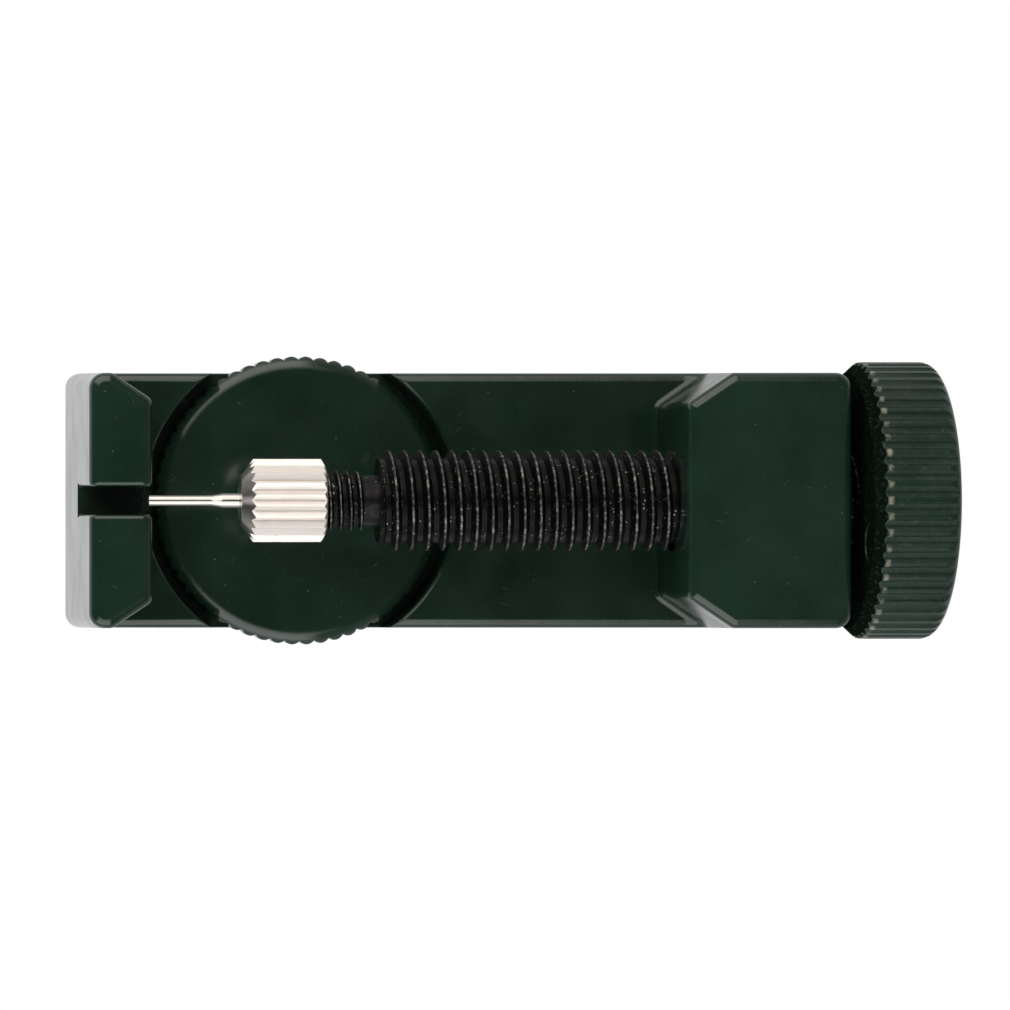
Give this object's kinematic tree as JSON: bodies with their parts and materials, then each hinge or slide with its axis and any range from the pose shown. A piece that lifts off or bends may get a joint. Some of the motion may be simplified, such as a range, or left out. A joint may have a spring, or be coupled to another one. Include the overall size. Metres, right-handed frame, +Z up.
{
  "type": "watch bracelet pin remover",
  "caption": "Bench press for watch bracelet pins: cast frame with slotted anvil post, thumb screw carrying a clamped push pin, and a lobed table wheel that lifts the link.",
  "frame": {"origin": "centre of the flat underside of the base", "axes": "+X along the screw from the anvil post to the thumb knob, +Z up from the underside, +Y across the base"},
  "size_m": [0.0678, 0.0232, 0.0254],
  "materials": {
    "enamel_green": "glossy stove enamel",
    "black_oxide": "black oxide",
    "nickel": "satin nickel plate",
    "pin_steel": "ground and polished",
    "stud_steel": "zinc plated",
    "nylon": "natural nylon"
  },
  "bodies": {
    "frame": {"frame_body": "enamel_green"},
    "pin": {"push_pin": "pin_steel"},
    "spindle": {"main_screw": "black_oxide", "thumb_knob": "enamel_green", "knob_grub_screw": "black_oxide", "pin_cap": "nickel"},
    "washer": {"friction_washer": "nylon"},
    "table": {"table_wheel": "enamel_green", "table_stud": "stud_steel"}
  },
  "joints": [
    {"name": "screw_travel", "type": "slide", "parent": "frame", "child": "pin", "axis": [1, 0, 0], "range_m": [-0.0008, 0.0269]},
    {"name": "screw_turn", "type": "hinge", "parent": "pin", "child": "spindle", "pos_m": [0, 0, 0.0145], "axis": [1, 0, 0], "range_deg": [-225, 7740]},
    {"name": "table_lift", "type": "slide", "parent": "frame", "child": "washer", "axis": [0, 0, 1], "range_m": [0, 0.0026]},
    {"name": "table_turn", "type": "hinge", "parent": "washer", "child": "table", "pos_m": [-0.01159, 0, 0], "axis": [0, 0, 1], "range_deg": [0, 900]}
  ],
  "couplings": [
    {"joint": "screw_travel", "follows": "screw_turn", "m_per_rad": 0.00019894},
    {"joint": "table_lift", "follows": "table_turn", "m_per_rad": 0.00015915}
  ]
}
